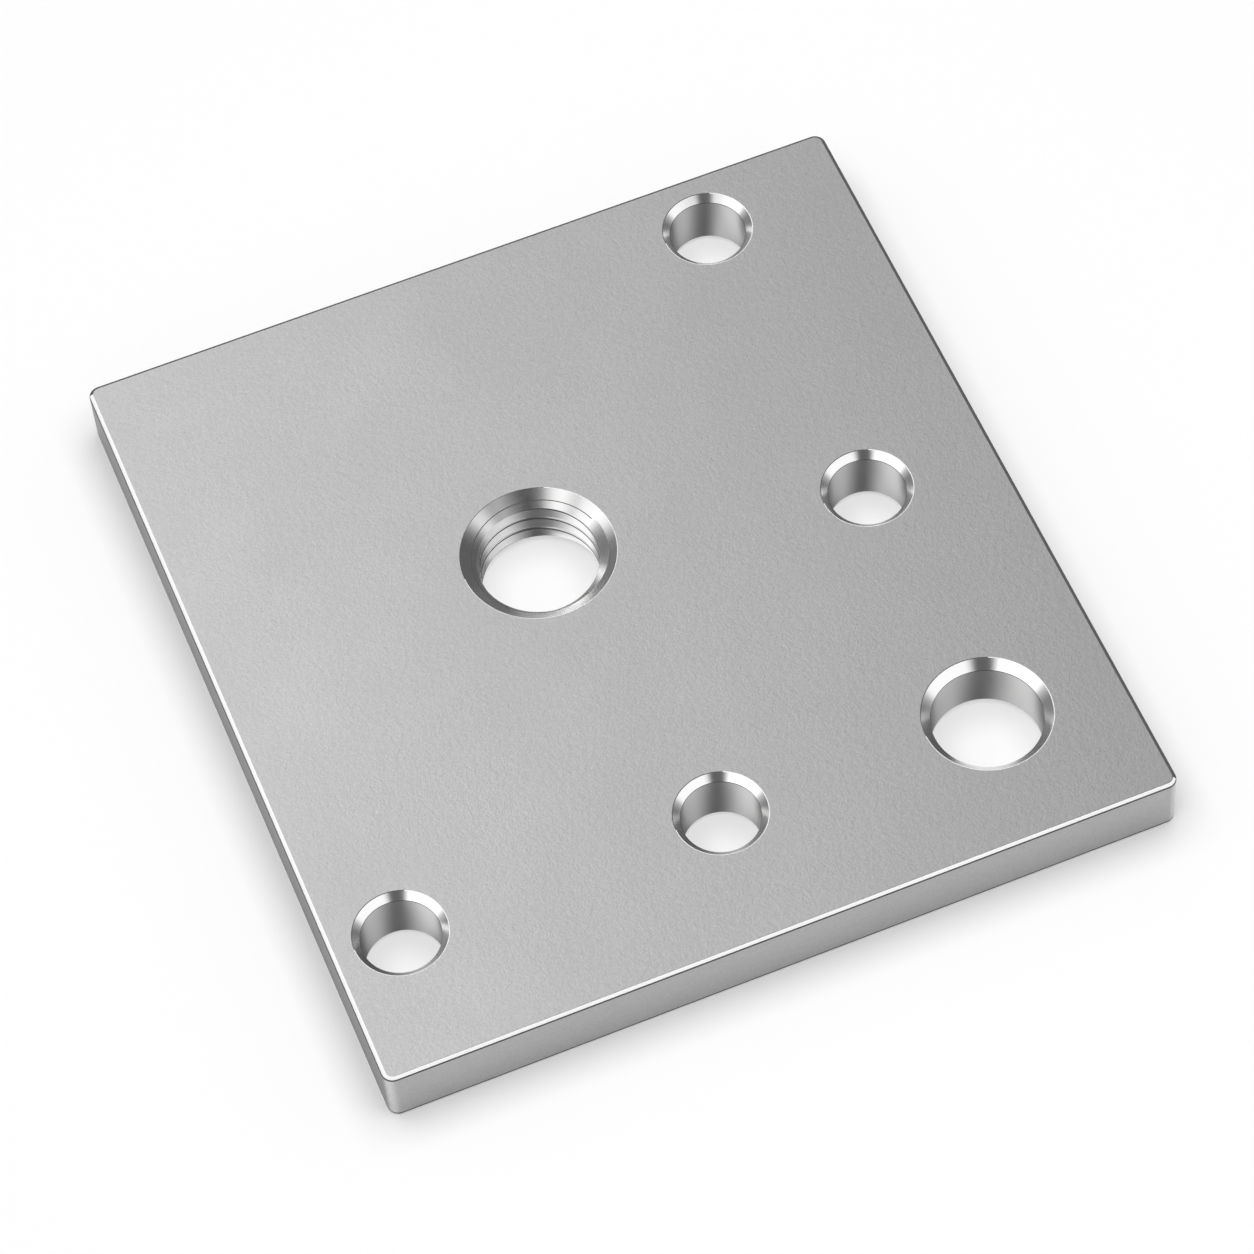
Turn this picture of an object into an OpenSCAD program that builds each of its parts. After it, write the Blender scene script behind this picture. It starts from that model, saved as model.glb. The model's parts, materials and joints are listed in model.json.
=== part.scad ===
// Adjuster plate: one flat rectangular plate with a tapped hole, a large plain hole and four
// smaller plain holes, each opened out at both faces.
// Millimetres. +Z is up, and the origin is the middle of the flat underside.
// +X runs along the shorter side and +Y along the longer side, towards the far edge.

/* [Plate] */
// length of the shorter side
plate_w = 140; // [120:1:200]
// length of the longer side
plate_d = 150; // [130:1:220]
// thickness of the plate
plate_t = 12; // [8:0.5:25]
// radius of the four upright corners
corner_r = 2; // [1.2:0.1:6]
// size of the bevel round the top and bottom edges
edge_bevel = 0.5; // [0.2:0.1:1]

/* [Tapped hole] */
// nominal diameter of the thread
thread_d = 24; // [12:1:30]
// pitch of the thread
thread_pitch = 3; // [1:0.25:3.5]
// how much wider than the thread the countersink is at the face
thread_sink_extra = 3; // [1:0.5:8]
// full angle of the countersink
thread_sink_angle = 120; // [90:5:140]
// from the left edge to the axis
thread_from_left = 60; // [40:0.5:75]
// from the front edge to the axis
thread_from_front = 85.5; // [60:0.5:100]

/* [Large hole] */
// diameter of the plain bore in the front right corner
large_bore_d = 19; // [12:0.5:24]
// width of its 45 degree chamfer
large_chamfer = 1.6; // [0.5:0.1:3]

/* [Small holes] */
// diameter of the four plain bores
small_bore_d = 13.5; // [8:0.5:16]
// width of their 45 degree chamfer
small_chamfer = 1.25; // [0.5:0.05:2]

/* [Hole layout] */
// from the front edge to the row of three holes
front_row = 25; // [18:0.5:35]
// from the right edge to the column of two holes
right_column = 23.5; // [18:0.5:32]
// from the large hole to the middle hole of the front row
front_pitch = 48; // [30:0.5:60]
// from the left edge to the left hole of the front row
left_hole_in = 12; // [12:0.5:20]
// from the large hole to the hole behind it
column_pitch = 50; // [30:0.5:60]
// from the right edge to the hole near the far edge
far_hole_from_right = 27; // [18:0.5:40]
// from the far edge to the hole near it
far_hole_in = 12; // [12:0.5:20]

/* [Hidden] */
$fn = 96;

// how far a cutter runs past the face that it opens
over = 1;
half_w = plate_w / 2;
half_d = plate_d / 2;
bevel_z = plate_t - edge_bevel;

// share of the pitch by which the bore of a metric thread is under its nominal diameter
crest_share = 1.0825;
tap_d = thread_d - crest_share * thread_pitch;
tap_r = tap_d / 2;
thread_sink_w = (thread_d + thread_sink_extra - tap_d) / 2;
thread_sink_depth = thread_sink_w / tan(thread_sink_angle / 2);
thread_at = [thread_from_left - half_w, thread_from_front - half_d];

large_at = [half_w - right_column, front_row - half_d];
small_at = [
    [large_at.x - front_pitch, large_at.y],
    [left_hole_in - half_w, large_at.y],
    [large_at.x, large_at.y + column_pitch],
    [half_w - far_hole_from_right, half_d - far_hole_in]
];

plate_grey = [0.72, 0.73, 0.74];

// section of the plate across one side, with its four edges bevelled
module side_section(half) {
    polygon([
        [edge_bevel - half, 0],
        [half - edge_bevel, 0],
        [half, edge_bevel],
        [half, bevel_z],
        [half - edge_bevel, plate_t],
        [edge_bevel - half, plate_t],
        [-half, bevel_z],
        [-half, edge_bevel]
    ]);
}

// bar that gives the left and right edges
module bar_across() {
    rotate([90, 0, 0])
        linear_extrude(height = plate_d - 2 * corner_r, center = true)
            side_section(half_w);
}

// bar that gives the front and far edges
module bar_along() {
    rotate([90, 0, 90])
        linear_extrude(height = plate_w - 2 * corner_r, center = true)
            side_section(half_d);
}

// rounded corner with the same bevels
module corner_post() {
    rotate_extrude()
        polygon([
            [0, 0],
            [corner_r - edge_bevel, 0],
            [corner_r, edge_bevel],
            [corner_r, bevel_z],
            [corner_r - edge_bevel, plate_t],
            [0, plate_t]
        ]);
}

module blank() {
    bar_across();
    bar_along();
    for (sx = [-1, 1])
        for (sy = [-1, 1])
            translate([sx * (half_w - corner_r), sy * (half_d - corner_r), 0])
                corner_post();
}

// hole through the plate, opening to a cone of this width and depth at each face
module sunk_hole(at, bore_r, sink_w, sink_depth) {
    mouth_r = bore_r + sink_w + over * sink_w / sink_depth;
    translate([at.x, at.y, 0])
        rotate_extrude()
            polygon([
                [0, -over],
                [mouth_r, -over],
                [bore_r, sink_depth],
                [bore_r, plate_t - sink_depth],
                [mouth_r, plate_t + over],
                [0, plate_t + over]
            ]);
}

module plate() {
    color(plate_grey)
        difference() {
            blank();
            sunk_hole(thread_at, tap_r, thread_sink_w, thread_sink_depth);
            sunk_hole(large_at, large_bore_d / 2, large_chamfer, large_chamfer);
            for (at = small_at)
                sunk_hole(at, small_bore_d / 2, small_chamfer, small_chamfer);
        }
}

plate();
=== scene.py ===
import json
import math

import bmesh
import bpy
from bpy.props import FloatProperty, FloatVectorProperty, IntProperty, PointerProperty
from mathutils import Euler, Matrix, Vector
from mathutils.geometry import tessellate_polygon


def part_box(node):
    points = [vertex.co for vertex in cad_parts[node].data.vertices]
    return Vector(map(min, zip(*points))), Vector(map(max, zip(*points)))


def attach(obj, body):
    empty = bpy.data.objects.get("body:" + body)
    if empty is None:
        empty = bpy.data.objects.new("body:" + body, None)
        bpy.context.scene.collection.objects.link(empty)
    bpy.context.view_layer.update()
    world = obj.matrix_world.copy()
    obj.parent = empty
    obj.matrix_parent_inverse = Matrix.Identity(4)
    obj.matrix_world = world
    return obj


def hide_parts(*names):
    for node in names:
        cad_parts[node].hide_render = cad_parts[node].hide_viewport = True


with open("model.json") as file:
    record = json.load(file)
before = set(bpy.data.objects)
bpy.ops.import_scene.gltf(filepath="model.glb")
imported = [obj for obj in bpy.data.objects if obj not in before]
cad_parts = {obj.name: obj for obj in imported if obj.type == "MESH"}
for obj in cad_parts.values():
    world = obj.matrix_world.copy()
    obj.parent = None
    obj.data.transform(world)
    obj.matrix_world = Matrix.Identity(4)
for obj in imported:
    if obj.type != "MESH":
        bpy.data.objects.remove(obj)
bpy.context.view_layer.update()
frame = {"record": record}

bl_info = {
    "name": "Adjuster Plate",
    "version": (1, 0, 0),
    "blender": (4, 5, 0),
    "location": "3D Viewport > Sidebar > Plate",
    "description": "Builds a blasted adjuster plate with a tapped hole and five plain holes",
    "category": "Add Mesh",
}

MM = 0.001
MOUNTS = {m["name"]: m for m in frame["record"]["mounts"]}
PLATE_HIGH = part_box("plate")[1]

# faces of the plate are sorted into these finishes; three carry painted light: a painted highlight
# on some bevels and rims, painted shade on the other bevels and rims, and thin painted shade lines
BLASTED, SIDE, PAINTED_HIGHLIGHT_EDGE, PAINTED_SHADE_EDGE, PAINTED_SHADE_LINE, CHAMFER, BORE, FLANK, CREST = range(9)

# tilts of a face, as the size of its normal's z: 1 is a level face and 0 an upright one
LEVEL = 0.9999
NEARLY_LEVEL = 0.98
CONE = 0.7
SLOPING = 0.68
WALL = 0.1
UPRIGHT = 0.05
# a face looks to the front where its normal's y is under this
FRONTWARD = -0.05
# a length that is smaller than any form on the plate
HAIR = 0.05 * MM

# turns of the tap below the plate's underside
TAP_LEAD = 2.5
# how much smaller than the thread's crests the bore is drilled, for the tap to cut
TAP_SKIN = 0.04 * MM
# angle between two faces above which the edge between them is shaded sharp
SHARP_ANGLE = math.radians(32)
# how far a section runs on past its last corner, so that the corner can be rounded
RUN_ON = 1.0 * MM


def heading(degrees):
    """Level direction at this angle from +X."""
    return Vector((math.cos(math.radians(degrees)), math.sin(math.radians(degrees))))


# painted shade: bevels are given a dark plain colour where they face this direction by more than
# this share, and a painted highlight elsewhere
PAINTED_SHADE_SIDE, PAINTED_SHADE_SIDE_FROM = heading(70), -0.087
# and so are the rims of the holes where they lie in this direction from the middle
PAINTED_SHADE_RIM, PAINTED_SHADE_RIM_FROM = heading(122), 0.53


def centre_of(name):
    """Axis of one of the record's round mounts, in metres."""
    return Vector(MOUNTS[name]["pos_m"][:2])


def wall_radius(name):
    """Wall radius of one of the record's round mounts, in metres."""
    return MOUNTS[name]["dims"]["r_mm"] * MM


def length_prop(label, text, default):
    """A property that holds a length."""
    return FloatProperty(
        name=label, description=text, default=default, min=0, unit="LENGTH", precision=5
    )


def colour_prop(label, text, default):
    """A property that holds a colour."""
    return FloatVectorProperty(
        name=label, description=text, default=default, size=3, min=0, max=1, subtype="COLOR"
    )


def share_prop(label, text, default):
    """A property that holds a share between 0 and 1."""
    return FloatProperty(
        name=label, description=text, default=default, min=0, max=1, subtype="FACTOR"
    )


class PlateSizes(bpy.types.PropertyGroup):
    """Sizes of the plate and its holes."""

    corner_radius: length_prop("Corner Radius", "Radius of the four upright corners", 2 * MM)
    edge_bevel: length_prop("Edge Bevel", "Size of the bevel round the top and bottom", 0.5 * MM)
    top_round: length_prop("Top Rounding", "Radius between the bevel and the flat faces", 0.5 * MM)
    side_round: length_prop("Side Rounding", "Radius between the bevel and the sides", 0.4 * MM)
    # the thin dark line along the foot of each side is painted shade
    foot_shade_line: length_prop(
        "Foot Line", "Height of the thin line along the foot of each side", 0.15 * MM
    )
    rim_round: length_prop("Rim Rounding", "Radius at the rim of each hole", 0.18 * MM)
    throat_round: length_prop("Throat Rounding", "Radius between a chamfer and its bore", 0.16 * MM)
    large_chamfer: length_prop("Large Chamfer", "Chamfer of the large hole", 1.6 * MM)
    small_chamfer: length_prop("Small Chamfer", "Chamfer of the small holes", 1.25 * MM)
    sink_radius: length_prop("Countersink Radius", "Radius of the tapped hole's mouth", 13.5 * MM)
    sink_depth: length_prop("Countersink Depth", "Depth of the tapped hole's mouth", 1.804 * MM)
    # the ring is painted shade: a thin dark strip on the cone itself, not a cut
    painted_shade_ring: length_prop(
        "Tool Ring", "Radius of the fine ring left in each countersink", 11.62 * MM
    )
    ring_width: length_prop("Ring Width", "Width of that ring", 0.13 * MM)
    circle_steps: IntProperty(
        name="Circle Steps", description="Points round each hole and turn", default=144, min=24
    )


class ThreadSizes(bpy.types.PropertyGroup):
    """Sizes of the thread in the tapped hole."""

    major_radius: length_prop("Root Radius", "Radius at the roots of the thread", 12 * MM)
    pitch: length_prop("Pitch", "Rise of the thread in one turn", 3 * MM)
    crest_round: length_prop("Crest Rounding", "Radius that softens the crests", 0.12 * MM)
    root_round: length_prop("Root Rounding", "Radius at the roots", 0.16 * MM)
    start: FloatProperty(
        name="Start", description="Share of a turn at which the thread begins", default=0.27
    )


class Finishes(bpy.types.PropertyGroup):
    """Colours and roughness of the metal."""

    blasted: colour_prop(
        "Blasted Metal", "Colour of the top and the underside", (0.55, 0.55, 0.552)
    )
    # painted shade: the long sides are darker than the short ones because of how the light fell
    shaded_long_side: colour_prop(
        "Long Sides", "Colour of the left and right sides", (0.235, 0.235, 0.236)
    )
    short_side: colour_prop(
        "Short Sides", "Colour of the front and far sides", (0.43, 0.43, 0.431)
    )
    # painted reflection: the rounded upright corners are lighter, standing in for the floor they
    # mirror
    corner: colour_prop("Corners", "Colour of the rounded upright corners", (0.66, 0.66, 0.66))
    # painted highlight: near-white plain colour on the bevels that face front and left and on most
    # hole rims, standing in for the light they catch
    bright: colour_prop("Bright Edge", "Colour of the freshly cut bevels", (0.97, 0.97, 0.97))
    # painted shade: near-black plain colour on the bevels that face right and away and on the
    # far-left rims of the holes
    in_painted_shade: colour_prop("Dull Edge", "Colour of the bevels left dull", (0.11, 0.11, 0.11))
    # painted shade: near-black plain colour for thin lines under the bevels, along the foot of each
    # side, at the throats of the plain holes, round each countersink and in the thread's roots and
    # under its crests
    line: colour_prop("Edge Line", "Colour of the thin lines under the edges", (0.09, 0.09, 0.09))
    machined: colour_prop(
        "Machined Metal", "Colour of the chamfers and the thread", (0.93, 0.93, 0.927)
    )
    bore: colour_prop("Bores", "Colour of the bored walls", (0.58, 0.58, 0.578))
    blasted_roughness: share_prop("Blasted Roughness", "Roughness of the blasted faces", 0.36)
    side_roughness: share_prop("Side Roughness", "Roughness of the milled sides", 0.42)
    machined_roughness: share_prop("Machined Roughness", "Roughness of the chamfers", 0.11)
    bore_roughness: share_prop("Bore Roughness", "Roughness of the bored walls", 0.27)
    grain: length_prop("Grain", "Size of the blasted grain", 0.35 * MM)


class StageSettings(bpy.types.PropertyGroup):
    """Floor, light and camera."""

    floor: colour_prop("Floor", "Colour of the floor", (0.93, 0.93, 0.93))
    floor_width: length_prop("Floor Width", "Width of the floor", 12)
    open_white: share_prop("Open White", "How white the open floor is shown", 0.05)
    # painted light: how much lighter the floor under the plate, seen through the holes, is shown
    # than its light makes it
    hole_painted_light: share_prop("Hole White", "How white the floor is shown through the holes", 0.42)
    room: share_prop("Room", "Light that comes evenly from all round", 0.35)
    lamp_power: FloatProperty(
        name="Lamp Power",
        description="Power of the soft lamp overhead",
        default=13.6,
        min=0,
        unit="POWER",
    )
    lamp_width: length_prop("Lamp Width", "Width of the soft lamp overhead", 1.3)
    lamp_height: length_prop("Lamp Height", "Height of the soft lamp above the floor", 1.15)
    camera_at: FloatVectorProperty(
        name="Camera",
        description="Place of the camera",
        default=(-0.14537, -0.46050, 0.72747),
        size=3,
        subtype="TRANSLATION",
        unit="LENGTH",
    )
    camera_turn: FloatVectorProperty(
        name="Camera Turn",
        description="Turn of the camera about X, Y and Z",
        default=tuple(math.radians(a) for a in (33.360, 2.885, -22.029)),
        size=3,
        subtype="EULER",
        unit="ROTATION",
    )
    lens: FloatProperty(
        name="Lens", description="Focal length", default=145.93, unit="CAMERA", min=1
    )


def settings(name):
    """One of the scene's groups of settings."""
    return getattr(bpy.context.scene, name)


# Shaders


class Value:
    """A number socket that takes part in Python arithmetic."""

    def __init__(self, shader, socket):
        self.shader = shader
        self.socket = socket

    def math(self, operation, first, second=0.0):
        node = self.shader.node("ShaderNodeMath", {"operation": operation}, {0: first, 1: second})
        return node.value(0)

    def __add__(self, other):
        return self.math("ADD", self, other)

    def __sub__(self, other):
        return self.math("SUBTRACT", self, other)

    def __rsub__(self, other):
        return self.math("SUBTRACT", other, self)

    def __mul__(self, other):
        return self.math("MULTIPLY", self, other)

    def __truediv__(self, other):
        return self.math("DIVIDE", self, other)

    def __rtruediv__(self, other):
        return self.math("DIVIDE", other, self)

    def __pow__(self, other):
        return self.math("POWER", self, other)

    def __rpow__(self, other):
        return self.math("POWER", other, self)

    def __lt__(self, other):
        return self.math("LESS_THAN", self, other)

    def __gt__(self, other):
        return self.math("GREATER_THAN", self, other)

    def __abs__(self):
        return self.math("ABSOLUTE", self)

    __radd__ = __add__
    __rmul__ = __mul__


class Node:
    """A node and its outputs."""

    def __init__(self, shader, node):
        self.shader = shader
        self.node = node

    def out(self, key):
        """An output for a colour, vector or shader."""
        return self.node.outputs[key]

    def value(self, key):
        """An output for a number, ready for arithmetic."""
        return Value(self.shader, self.node.outputs[key])


class Shader:
    """A material or world whose nodes are added one call at a time."""

    def __init__(self, owner):
        owner.use_nodes = True
        self.owner = owner
        self.tree = owner.node_tree
        self.tree.nodes.clear()

    def node(self, kind, options=None, inputs=None):
        """A new node of this type, with its settings and then its sockets' values or links."""
        node = self.tree.nodes.new(kind)
        for key, option in (options or {}).items():
            if key == "stops":
                ramp = node.color_ramp
                while len(ramp.elements) < len(option):
                    ramp.elements.new(0.5)
                for stop, (place, level) in zip(ramp.elements, option):
                    stop.position = place
                    stop.color = (level, level, level, 1)
            else:
                setattr(node, key, option)
        for key, given in (inputs or {}).items():
            source = given.socket if isinstance(given, Value) else given
            if isinstance(source, bpy.types.NodeSocket):
                self.tree.links.new(source, node.inputs[key])
            else:
                node.inputs[key].default_value = source
        return Node(self, node)

    def place(self):
        """Position on the object, in metres."""
        return self.node("ShaderNodeTexCoord").out("Object")

    def noise(self, size, detail=2.0, roughness=0.5, stretch=(1, 1, 1)):
        """Noise whose patches are about this size, in metres, as a value round 0.5."""
        mapped = self.node(
            "ShaderNodeMapping", inputs={"Vector": self.place(), "Scale": Vector(stretch)}
        )
        node = self.node(
            "ShaderNodeTexNoise",
            {"noise_dimensions": "3D"},
            {"Vector": mapped.out(0), "Scale": 1 / size, "Detail": detail, "Roughness": roughness},
        )
        return node.value(0)

    def spread(self, value, low, high, to_low=0.0, to_high=1.0):
        """The value mapped from one range to another, and kept inside it."""
        node = self.node(
            "ShaderNodeMapRange",
            {"clamp": True},
            {0: value, 1: low, 2: high, 3: to_low, 4: to_high},
        )
        return node.value(0)

    def mix(self, share, first, second):
        """A colour between two others."""
        node = self.node("ShaderNodeMix", {"data_type": "RGBA"}, {0: share, 6: first, 7: second})
        return node.out(2)

    def tint(self, colour, level):
        """A colour made lighter or darker by a value."""
        scale = {"operation": "SCALE"}
        return self.node("ShaderNodeVectorMath", scale, {0: colour, "Scale": level}).out(0)

    def along(self, direction, axis):
        """How far a direction points along an axis."""
        node = self.node(
            "ShaderNodeVectorMath", {"operation": "DOT_PRODUCT"}, {0: direction, 1: Vector(axis)}
        )
        return node.value("Value")

    def ramp(self, value, stops):
        """A grey level that follows stops of place and level."""
        return self.node("ShaderNodeValToRGB", {"stops": stops}, {"Fac": value}).value("Color")

    def shown(self):
        """1 for what the camera sees directly, or in metal or glass."""
        path = self.node("ShaderNodeLightPath")
        return sum(path.value(f"Is {kind} Ray") for kind in ("Camera", "Glossy", "Transmission"))

    def finish(self, surface):
        """The material, with this surface on its output."""
        self.node("ShaderNodeOutputMaterial", inputs={"Surface": surface})
        return self.owner


def rgba(colour):
    """A colour with full alpha."""
    return (*colour, 1.0)


def fine_bump(shader, strength, height, normal=None):
    """A bump as deep as a tool's marks."""
    inputs = {"Strength": strength, "Distance": 0.01 * MM, "Height": height}
    if normal is not None:
        inputs["Normal"] = normal
    return shader.node("ShaderNodeBump", inputs=inputs).out(0)


def bare_metal(shader, colour, roughness, normal):
    """The surface of bare metal."""
    return shader.node(
        "ShaderNodeBsdfPrincipled",
        inputs={
            "Base Color": colour,
            "Metallic": 1.0,
            "Roughness": roughness,
            "Normal": normal,
        },
    ).out(0)


def blasted_metal(shader, colour, roughness):
    """Satin metal with a fine blasted grain, faint clouds and a few specks."""
    looks = settings("plate_finishes")
    grain = shader.noise(looks.grain, detail=3, roughness=0.65)
    clouds = shader.noise(22 * MM, detail=3, roughness=0.55)
    specks = shader.noise(1.1 * MM, detail=1)
    pits = shader.spread(specks, 0.70, 0.78)
    glints = shader.spread(specks, 0.30, 0.22)
    level = 0.72 + 0.45 * grain + 0.05 * clouds + 0.06 * specks + 0.08 * glints - 0.08 * pits
    bump = shader.node(
        "ShaderNodeBump",
        inputs={"Strength": 0.4, "Distance": 0.06 * MM, "Height": grain + 0.6 * specks},
    )
    roughness = roughness + 0.10 * (grain - 0.5) - 0.06 * (clouds - 0.5)
    return shader.finish(bare_metal(shader, shader.tint(colour, level), roughness, bump.out(0)))


def flat_face():
    """Blasted top and underside."""
    looks = settings("plate_finishes")
    shader = Shader(bpy.data.materials.new("blasted_face"))
    return blasted_metal(shader, tuple(looks.blasted), looks.blasted_roughness)


def side_face():
    """Milled sides, with painted shade that makes the long ones darker and a painted reflection
    that makes the rounded corners brighter.
    """
    looks = settings("plate_finishes")
    shader = Shader(bpy.data.materials.new("milled_side_painted_shade_and_reflection"))
    facing = shader.node("ShaderNodeTexCoord").out("Normal")
    on_long = abs(shader.along(facing, (1, 0, 0))) ** 8
    on_short = abs(shader.along(facing, (0, 1, 0))) ** 8
    colour = shader.mix(on_short, rgba(looks.corner), rgba(looks.short_side))
    colour = shader.mix(on_long, colour, rgba(looks.shaded_long_side))
    return blasted_metal(shader, colour, looks.side_roughness)


def edge_metal(name, colour, gloss):
    """Broken edge, with small nicks, in a plain colour that is a painted highlight or painted
    shade.
    """
    shader = Shader(bpy.data.materials.new(name))
    nicks = shader.noise(1.6 * MM, detail=3, roughness=0.6)
    drift = shader.noise(14 * MM, detail=1)
    surface = shader.node(
        "ShaderNodeBsdfPrincipled",
        inputs={
            "Base Color": shader.tint(tuple(colour), 0.93 + 0.06 * nicks + 0.06 * drift),
            "Specular IOR Level": gloss,
            "Roughness": 0.34 + 0.12 * nicks,
        },
    )
    return shader.finish(surface.out(0))


def turned_metal(shader, colour, roughness, normal=None):
    """Metal with the fine rings left by a turning tool."""
    rings = shader.noise(0.22 * MM, detail=1, stretch=(0.02, 0.02, 1))
    smears = shader.noise(2.5 * MM, detail=2, stretch=(1, 1, 0.4))
    colour = shader.tint(tuple(colour), 0.96 + 0.05 * smears + 0.03 * rings)
    bump = fine_bump(shader, 0.12, rings, normal)
    return shader.finish(bare_metal(shader, colour, roughness + 0.06 * smears, bump))


def turned_chamfer():
    """Bright chamfer at the mouth of each hole."""
    looks = settings("plate_finishes")
    shader = Shader(bpy.data.materials.new("turned_chamfer"))
    return turned_metal(shader, looks.machined, looks.machined_roughness)


def bored_wall(name, colour, roughness):
    """Bored wall, whose ridges lean up, so that it catches light from above."""
    shader = Shader(bpy.data.materials.new(name))
    # the ridges lean most at the foot of the wall
    height = shader.along(shader.place(), (0, 0, 1))
    lean = shader.spread(height, 1.5 * MM, 10.5 * MM, 1.55, 1.22)
    slope = shader.node("ShaderNodeCombineXYZ", inputs={"Z": lean}).out(0)
    wall = shader.node("ShaderNodeNewGeometry").out("Normal")
    leaning = shader.node("ShaderNodeVectorMath", {"operation": "ADD"}, {0: wall, 1: slope})
    return turned_metal(shader, colour, roughness, leaning.out(0))


def thread_metal():
    """Cut thread: bright flanks, a little rougher than the chamfers."""
    looks = settings("plate_finishes")
    shader = Shader(bpy.data.materials.new("cut_thread"))
    drag = shader.noise(0.5 * MM, detail=3, roughness=0.6, stretch=(0.3, 0.3, 1.5))
    colour = shader.tint(tuple(looks.machined), 0.92 + 0.1 * drag)
    roughness = looks.machined_roughness + 0.03 + 0.08 * drag
    return shader.finish(bare_metal(shader, colour, roughness, fine_bump(shader, 0.15, drag)))


def finishes():
    """The plate's materials, in the order of the finish numbers."""
    looks = settings("plate_finishes")
    crest = 0.8 * Vector(looks.machined)
    return (
        flat_face(),
        side_face(),
        edge_metal("painted_highlight_edge", looks.bright, 0.5),
        edge_metal("painted_shade_edge", looks.in_painted_shade, 0.0),
        edge_metal("painted_shade_line", looks.line, 0.0),
        turned_chamfer(),
        bored_wall("bored_wall", looks.bore, looks.bore_roughness),
        thread_metal(),
        bored_wall("thread_crest", crest, looks.machined_roughness),
    )


# Shapes


def softened(points, radii, steps=3):
    """An open path in a plane with each inner corner rounded by an arc of its own radius."""
    path = [Vector(p) for p in points]
    out = [path[0]]
    for before, corner, after, radius in zip(path, path[1:], path[2:], radii):
        if not radius:
            out.append(corner)
            continue
        a = (before - corner).normalized()
        b = (after - corner).normalized()
        half = a.angle(b) / 2
        room = 0.45 * min((before - corner).length, (after - corner).length)
        reach = min(radius / math.tan(half), room)
        round_r = reach * math.tan(half)
        middle = corner + (a + b).normalized() * (round_r / math.sin(half))
        start = corner + a * reach - middle
        end = corner + b * reach - middle
        for k in range(steps + 1):
            t = k / steps
            out.append(middle + round_r * start.slerp(end, t).normalized())
    out.append(path[-1])
    return out


def outline(half_x, half_y, radius, inset, z, steps=10):
    """Points round a rectangle with round corners, moved in by inset."""
    points = []
    for corner in range(4):
        sx = 1 if corner in (0, 3) else -1
        sy = 1 if corner in (0, 1) else -1
        cx, cy = sx * (half_x - radius), sy * (half_y - radius)
        for k in range(steps + 1):
            a = math.radians(90 * corner + 90 * k / steps)
            reach = radius - inset
            points.append((cx + reach * math.cos(a), cy + reach * math.sin(a), z))
    return points


def circle(centre, radius, z, steps):
    """Points round a circle."""
    turn = 2 * math.pi / steps
    return [
        (centre.x + radius * math.cos(k * turn), centre.y + radius * math.sin(k * turn), z)
        for k in range(steps)
    ]


def add_ring(mesh, points):
    """New vertices at these points, in their order."""
    return [mesh.verts.new(p) for p in points]


def bridge(mesh, lower, upper):
    """Quads between two rings with as many points each."""
    count = len(lower)
    for k in range(count):
        n = (k + 1) % count
        mesh.faces.new((lower[k], lower[n], upper[n], upper[k]))


def new_object(name, mesh):
    """A linked object made from a bmesh."""
    data = bpy.data.meshes.new(name)
    mesh.to_mesh(data)
    mesh.free()
    item = bpy.data.objects.new(name, data)
    bpy.context.scene.collection.objects.link(item)
    return item


def hole_list():
    """Every hole as its centre, wall radius, mouth radius and mouth depth."""
    sizes = settings("plate_sizes")
    holes = []
    for name, mount in MOUNTS.items():
        if mount["kind"] == "threaded_hole":
            # the thread's crests stand at the wall radius, so the blank hole is smaller
            bore = wall_radius(name) - TAP_SKIN
            holes.append((centre_of(name), bore, sizes.sink_radius, sizes.sink_depth))
        elif mount["kind"] == "bore":
            wide = name == "large_bore"
            chamfer = sizes.large_chamfer if wide else sizes.small_chamfer
            bore = wall_radius(name)
            holes.append((centre_of(name), bore, bore + chamfer, chamfer))
    return holes


def foot_top():
    """Height at which the thin painted shade line along the foot of each side ends."""
    sizes = settings("plate_sizes")
    return sizes.edge_bevel + 0.5 * sizes.side_round + sizes.foot_shade_line


def cone_depth(radius, bore, mouth, depth):
    """How far below the face a hole's cone is at this radius."""
    return depth * (mouth - radius) / (mouth - bore)


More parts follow.
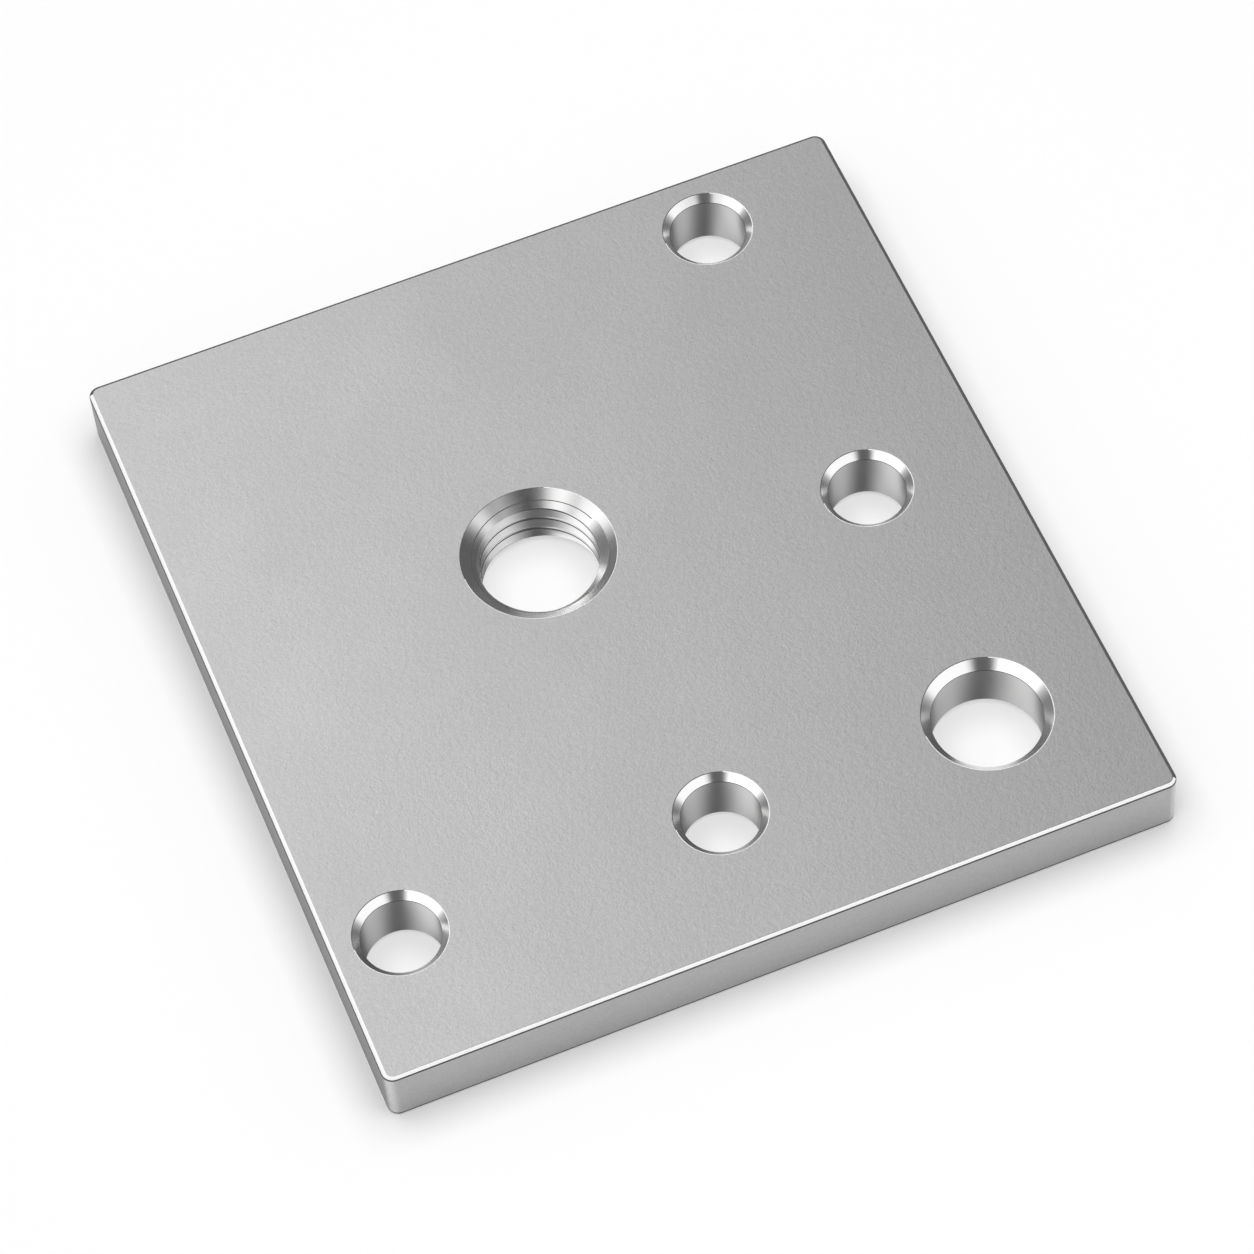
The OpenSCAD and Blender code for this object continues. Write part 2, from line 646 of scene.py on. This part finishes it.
def plate_blank():
    """The plate with every hole at its drilled size."""
    sizes = settings("plate_sizes")
    half_x, half_y, top = PLATE_HIGH.x, PLATE_HIGH.y, PLATE_HIGH.z
    bevel, steps = sizes.edge_bevel, sizes.circle_steps
    mesh = bmesh.new()
    flat = bevel + RUN_ON
    side = [
        (flat, 0),
        (bevel, 0),
        (0, bevel),
        (0, foot_top()),
        (0, top - bevel),
        (bevel, top),
        (flat, top),
    ]
    rounds = (sizes.top_round, sizes.side_round, 0, sizes.side_round, sizes.top_round)
    rings = []
    for inset, z in softened(side, rounds)[1:-1]:
        points = outline(half_x, half_y, sizes.corner_radius, inset, z)
        rings.append(add_ring(mesh, points))
    for lower, upper in zip(rings, rings[1:]):
        bridge(mesh, lower, upper)
    low_rims, top_rims = [rings[0]], [rings[-1]]
    for centre, bore, mouth, depth in hole_list():
        sink = [(mouth, 0)]
        rounds = [sizes.rim_round]
        # a thin strip on the countersink's cone that gets a painted shade line
        if mouth > sizes.painted_shade_ring:
            for edge in (0.5, -0.5):
                r = sizes.painted_shade_ring + edge * sizes.ring_width
                sink.append((r, cone_depth(r, bore, mouth, depth)))
                rounds.append(0)
        sink.append((bore, depth))
        rounds.append(sizes.throat_round)
        above = [(r, top - z) for r, z in reversed(sink)]
        wall = [(mouth + flat, 0), *sink, *above, (mouth + flat, top)]
        rounds += reversed(rounds)
        around = [
            add_ring(mesh, circle(centre, r, z, steps)) for r, z in softened(wall, rounds)[1:-1]
        ]
        for lower, upper in zip(around, around[1:]):
            bridge(mesh, upper, lower)
        low_rims.append(around[0])
        top_rims.append(around[-1])
    for rims in (low_rims, top_rims):
        points = [vert for rim in rims for vert in rim]
        for corners in tessellate_polygon([[vert.co for vert in rim] for rim in rims]):
            mesh.faces.new([points[k] for k in corners])
    bmesh.ops.recalc_face_normals(mesh, faces=mesh.faces)
    return mesh


def thread_profile():
    """One pitch of the thread's section, as height and radius, from mid-crest to mid-crest."""
    thread = settings("plate_thread")
    pitch, crest_r = thread.pitch, wall_radius("tapped_hole")
    root_r = thread.major_radius
    crest, root = pitch / 8, pitch / 16
    corners = [
        (0, crest_r),
        (crest, crest_r),
        (pitch / 2 - root, root_r),
        (pitch / 2, root_r),
    ]
    near = softened(corners[:3], (thread.crest_round,), 2)[:-1]
    deep = softened(corners[1:], (thread.root_round,), 2)[1:-1]
    half = near + deep
    # the other half is its mirror image
    return half + [Vector((pitch - p.x, p.y)) for p in reversed(half[1:])]


def tap_cutter():
    """A solid like a tap's full form, longer than the plate is thick."""
    thread = settings("plate_thread")
    steps, pitch = settings("plate_sizes").circle_steps, thread.pitch
    profile = thread_profile()
    centre = centre_of("tapped_hole")
    mesh = bmesh.new()
    low = -TAP_LEAD * pitch
    turns = math.ceil((PLATE_HIGH.z - low) / pitch) + 2
    last = turns * steps
    columns = []
    for j in range(last + 1):
        a = 2 * math.pi * (j / steps + thread.start)
        lift = low + pitch * j / steps
        places = [
            (centre.x + p.y * math.cos(a), centre.y + p.y * math.sin(a), lift + p.x)
            for p in profile
        ]
        columns.append(add_ring(mesh, places))
    for j in range(last):
        here, after = columns[j], columns[j + 1]
        for i in range(len(profile) - 1):
            mesh.faces.new((here[i], after[i], after[i + 1], here[i + 1]))
        if j + 1 + steps <= last:
            above, next_above = columns[j + steps][0], columns[j + 1 + steps][0]
            mesh.faces.new((here[-1], after[-1], next_above, above))
    start_rim = [column[0] for column in columns[: steps + 1]] + columns[0][:0:-1]
    end_rim = [column[-1] for column in columns[last - steps :]] + columns[last][-2::-1]
    for rim, z in ((start_rim, low - pitch), (end_rim, low + (turns + 2) * pitch)):
        tip = mesh.verts.new((centre.x, centre.y, z))
        for a, b in zip(rim, rim[1:] + rim[:1]):
            mesh.faces.new((a, b, tip))
    bmesh.ops.recalc_face_normals(mesh, faces=mesh.faces)
    return mesh


def under_crest(middle, centre):
    """True for the lower half of the thread's crest, from a face's place; that half gets painted
    shade.
    """
    thread = settings("plate_thread")
    away = Vector(middle[:2]) - centre
    turn = math.atan2(away.y, away.x) / (2 * math.pi) - thread.start
    return (middle.z / thread.pitch + TAP_LEAD - turn) % 1 > 0.5


def finish_of(middle, normal):
    """The finish that a face of the plate has, from its place and the way it faces, which also
    gives out the painted highlight and painted shade.

    The second answer is the hole whose cone or bore the face lies on, if any.
    """
    sizes = settings("plate_sizes")
    thread_r = settings("plate_thread").major_radius
    top, tilt = PLATE_HIGH.z, abs(normal.z)
    if tilt > LEVEL and not HAIR < middle.z < top - HAIR:
        return BLASTED, None
    for hole in hole_list():
        centre, bore, mouth, depth = hole
        outward = Vector(middle[:2]) - centre
        away = outward.length
        if away > mouth + sizes.edge_bevel:
            continue
        if away > mouth - HAIR:
            # rims that lie towards the far left get painted shade, the others a painted highlight
            in_painted_shade = outward.normalized() @ PAINTED_SHADE_RIM > PAINTED_SHADE_RIM_FROM
            return (PAINTED_SHADE_EDGE if in_painted_shade else PAINTED_HIGHLIGHT_EDGE), None
        if mouth < thread_r:
            if tilt > SLOPING:
                return CHAMFER, hole
            # the roundings between chamfer and bore get a painted shade line
            return (BORE, hole) if tilt < WALL else (PAINTED_SHADE_LINE, None)
        if tilt > CONE:
            below = min(middle.z, top - middle.z)
            on_cone = abs(below - cone_depth(away, bore, mouth, depth)) < 0.3 * HAIR
            # the strip of the ring on the cone gets painted shade
            on_shade_ring = on_cone and abs(away - sizes.painted_shade_ring) < 0.5 * sizes.ring_width
            return (PAINTED_SHADE_LINE if on_shade_ring else FLANK), hole if on_cone else None
        in_root = away > thread_r - 10 * HAIR
        # the roots and the lower half of each crest get painted shade
        return (PAINTED_SHADE_LINE if in_root or under_crest(middle, centre) else CREST), None
    if tilt < UPRIGHT:
        # the foot of each side is a painted shade line
        return (SIDE if middle.z > foot_top() else PAINTED_SHADE_LINE), None
    # the roundings between each side and its bevels get painted shade lines
    if tilt < SLOPING:
        return PAINTED_SHADE_LINE, None
    # bevels that face right and away get painted shade, the others a painted highlight
    if normal.xy.normalized() @ PAINTED_SHADE_SIDE > PAINTED_SHADE_SIDE_FROM:
        return PAINTED_SHADE_EDGE, None
    # along the front the last of the rounding is blasted with the face, which keeps the painted
    # highlight there narrow
    blasted = tilt > NEARLY_LEVEL and normal.y < FRONTWARD
    return (BLASTED if blasted else PAINTED_HIGHLIGHT_EDGE), None


def turned_normal(place, hole, finish, upward):
    """The exact direction that a turned surface faces at a place."""
    centre, bore, mouth, depth = hole
    inward = (centre - place.xy).normalized()
    if finish == BORE:
        return Vector((*inward, 0))
    rise = (mouth - bore) * (1 if upward else -1)
    return Vector((*(inward * depth), rise)).normalized()


def dress(mesh):
    """Give every face its finish, and turned surfaces their exact shading."""
    mesh.materials.clear()
    for material in finishes():
        mesh.materials.append(material)
    mesh.set_sharp_from_angle(angle=SHARP_ANGLE)
    turned = []
    for face in mesh.polygons:
        finish, hole = finish_of(face.center, face.normal)
        face.material_index = finish
        face.use_smooth = abs(face.normal.z) < LEVEL
        if hole:
            turned.append((face, hole, finish))
    directions = [corner.vector.copy() for corner in mesh.corner_normals]
    for face, hole, finish in turned:
        for k in face.loop_indices:
            place = mesh.vertices[mesh.loops[k].vertex_index].co
            directions[k] = turned_normal(place, hole, finish, face.normal.z > 0)
    mesh.normals_split_custom_set(directions)


class PLATE_OT_plate(bpy.types.Operator):
    """Add the plate, with its bevels, chamfered holes and cut thread"""

    bl_idname = "plate.plate"
    bl_label = "Plate"

    def execute(self, context):
        plate = new_object("adjuster_plate", plate_blank())
        uncut = len(plate.data.polygons)
        cutter = new_object("tap", tap_cutter())
        cut = plate.modifiers.new("thread", "BOOLEAN")
        cut.operation = "DIFFERENCE"
        cut.solver = "EXACT"
        cut.object = cutter
        depsgraph = context.evaluated_depsgraph_get()
        threaded = bpy.data.meshes.new_from_object(plate.evaluated_get(depsgraph))
        plate.modifiers.clear()
        plate.data = threaded
        bpy.data.objects.remove(cutter)
        if len(threaded.polygons) <= uncut:
            raise RuntimeError("the thread could not be cut")
        dress(threaded)
        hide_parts("plate")
        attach(plate, "root")
        return {"FINISHED"}


# Stage


def floor_material():
    """Pale plain floor with a trace of unevenness, shown near white, with painted light under the
    plate.
    """
    stage = settings("plate_stage")
    shader = Shader(bpy.data.materials.new("floor"))
    faint = shader.noise(0.4, detail=1)
    matt = shader.node(
        "ShaderNodeBsdfPrincipled",
        inputs={
            "Base Color": shader.tint(tuple(stage.floor), 0.995 + 0.01 * faint),
            "Roughness": 0.9,
            "Specular IOR Level": 0.1,
        },
    )
    white = shader.node("ShaderNodeEmission", inputs={"Color": (1, 1, 1, 1), "Strength": 1.0})
    # the floor under the plate, which shows through the holes, gets painted light and is shown
    # lighter than its light makes it; the open floor keeps the shadow
    reach = PLATE_HIGH - Vector((3 * MM, 3 * MM, 0))
    across = abs(shader.along(shader.place(), (1, 0, 0))) < reach.x
    along = abs(shader.along(shader.place(), (0, 1, 0))) < reach.y
    painted_light_under_plate = (stage.hole_painted_light - stage.open_white) * across * along
    share = shader.shown() * (stage.open_white + painted_light_under_plate)
    layers = {0: share, 1: matt.out(0), 2: white.out(0)}
    return shader.finish(shader.node("ShaderNodeMixShader", inputs=layers).out(0))


def lower_walls():
    """Places round the room, from the far side to the camera, and how bright metal sees them."""
    return (
        (0.0, 0.15),
        (0.34, 0.17),
        (0.44, 0.4),
        (0.52, 0.95),
        (0.58, 1.0),
        (0.945, 1.0),
        (0.965, 0.8),
        (0.980, 0.42),
        (0.990, 0.12),
        (1.0, 0.1),
    )


def upper_walls():
    """The same for the upper part of the room, whose dark end is wider."""
    return (
        (0.0, 0.15),
        (0.34, 0.17),
        (0.44, 0.4),
        (0.52, 0.95),
        (0.58, 1.0),
        (0.72, 1.0),
        (0.82, 0.8),
        (0.90, 0.48),
        (0.95, 0.27),
        (0.98, 0.16),
        (1.0, 0.14),
    )


def walls(sky, up, side, right):
    """How bright metal sees the walls, from how high, how near the camera and how far right."""
    lower = sky.ramp(side, lower_walls()) * sky.spread(right, -0.2, 0.2, 1.3, 1.06)
    # higher up, the bright part reaches further to the far side
    shift = 0.07 * sky.spread(up, 0.5, 0.65) * sky.spread(side, 0.7, 0.5)
    left_gain = 1.1
    right_gain = sky.spread(up, 0.64, 0.74, 0.7, 1.0)
    gain = left_gain + (right_gain - left_gain) * sky.spread(right, -0.2, 0.2)
    upper = sky.ramp(side + shift, upper_walls()) * gain
    # a pale patch, high up on the left of the camera
    patch = sky.spread(up, 0.79, 0.86) * sky.spread(right, -0.1, -0.22)
    upper = upper + 0.45 * patch * sky.spread(side, 0.75, 0.85)
    # the border between the two parts is higher near the camera
    high = sky.spread(up - 0.45 * side, 0.16, 0.20)
    # and near the ceiling both sides of the room darken
    left_dark = 0.85 * sky.spread(up, 0.79, 0.84) * sky.spread(side, 0.75, 0.63)
    right_dark = 0.6 * sky.spread(up, 0.74, 0.88) * sky.spread(right, -0.08, 0.05)
    return (lower * (1 - high) + upper * high) * (1 - left_dark) * (1 - right_dark)


def studio(world):
    """A white room that lights everything evenly, and whose bright and dark parts metal mirrors."""
    stage = settings("plate_stage")
    sky = Shader(world)
    direction = sky.node("ShaderNodeTexCoord").out("Generated")
    facing = Vector(stage.camera_at[:2]).normalized()
    up = sky.along(direction, (0, 0, 1))
    forward = sky.along(direction, (facing.x, facing.y, 0))
    right = sky.along(direction, (-facing.y, facing.x, 0))
    # 1 on the camera's side, 0.5 to the left and right, 0 on the far side
    side = 0.5 + 0.5 * forward / (1.0001 - up * up) ** 0.5
    # the ceiling is bright on the left, and covers the zenith and the far side
    ceiling = sky.spread(right, -0.3, 0.25, 2.25, 0.06)
    overhead = sky.spread(up, 0.5, 0.8) * sky.spread(side, 0.48, 0.33)
    overhead = overhead + (1 - overhead) * sky.spread(up, 0.955, 0.975)
    mirrored = walls(sky, up, side, right) * (1 - overhead) + ceiling * overhead
    path = sky.node("ShaderNodeLightPath")
    glossy = path.value("Is Glossy Ray")
    white = path.value("Is Camera Ray") + path.value("Is Transmission Ray")
    level = glossy * mirrored + white + (1 - glossy - white) * stage.room
    background = sky.node(
        "ShaderNodeBackground", inputs={"Color": (1, 1, 1, 1), "Strength": level}
    )
    sky.node("ShaderNodeOutputWorld", inputs={"Surface": background.out(0)})


class PLATE_OT_stage(bpy.types.Operator):
    """Add the floor, the studio light and the camera"""

    bl_idname = "plate.stage"
    bl_label = "Stage"

    def execute(self, context):
        stage = settings("plate_stage")
        scene = context.scene
        mesh = bmesh.new()
        bmesh.ops.create_grid(mesh, size=stage.floor_width / 2)
        floor = new_object("floor", mesh)
        floor.data.materials.append(floor_material())

        lamp = bpy.data.lights.new("soft_lamp", "AREA")
        lamp.energy = stage.lamp_power
        lamp.size = stage.lamp_width
        overhead = bpy.data.objects.new("soft_lamp", lamp)
        overhead.location = (0, 0, stage.lamp_height)
        overhead.visible_camera = False
        overhead.visible_glossy = False
        scene.collection.objects.link(overhead)

        scene.world = bpy.data.worlds.new("studio")
        studio(scene.world)

        lens = bpy.data.cameras.new("camera")
        lens.lens = stage.lens
        lens.sensor_width = 36
        lens.clip_start = 0.01
        lens.clip_end = 50
        camera = bpy.data.objects.new("camera", lens)
        camera.location = stage.camera_at
        camera.rotation_euler = Euler(stage.camera_turn)
        scene.collection.objects.link(camera)
        scene.camera = camera
        scene.view_settings.view_transform = "Standard"
        return {"FINISHED"}


class PLATE_PT_sidebar(bpy.types.Panel):
    """Lists the pieces and their settings"""

    bl_idname = "PLATE_PT_sidebar"
    bl_label = "Adjuster Plate"
    bl_space_type = "VIEW_3D"
    bl_region_type = "UI"
    bl_category = "Plate"

    def draw(self, context):
        for step in STEPS:
            self.layout.operator(step.bl_idname)
        for name, group in GROUPS.items():
            box = self.layout.box()
            box.label(text=group.__doc__)
            for key in group.__annotations__:
                box.prop(getattr(context.scene, name), key)


GROUPS = {
    "plate_sizes": PlateSizes,
    "plate_thread": ThreadSizes,
    "plate_finishes": Finishes,
    "plate_stage": StageSettings,
}
STEPS = (PLATE_OT_plate, PLATE_OT_stage)
CLASSES = (*GROUPS.values(), *STEPS, PLATE_PT_sidebar)


def register():
    for item in CLASSES:
        bpy.utils.register_class(item)
    for name, group in GROUPS.items():
        setattr(bpy.types.Scene, name, PointerProperty(type=group))


def unregister():
    for name in GROUPS:
        delattr(bpy.types.Scene, name)
    for item in reversed(CLASSES):
        bpy.utils.unregister_class(item)


def main():
    register()
    bpy.ops.plate.plate()
    bpy.ops.plate.stage()


if __name__ == "__main__":
    main()
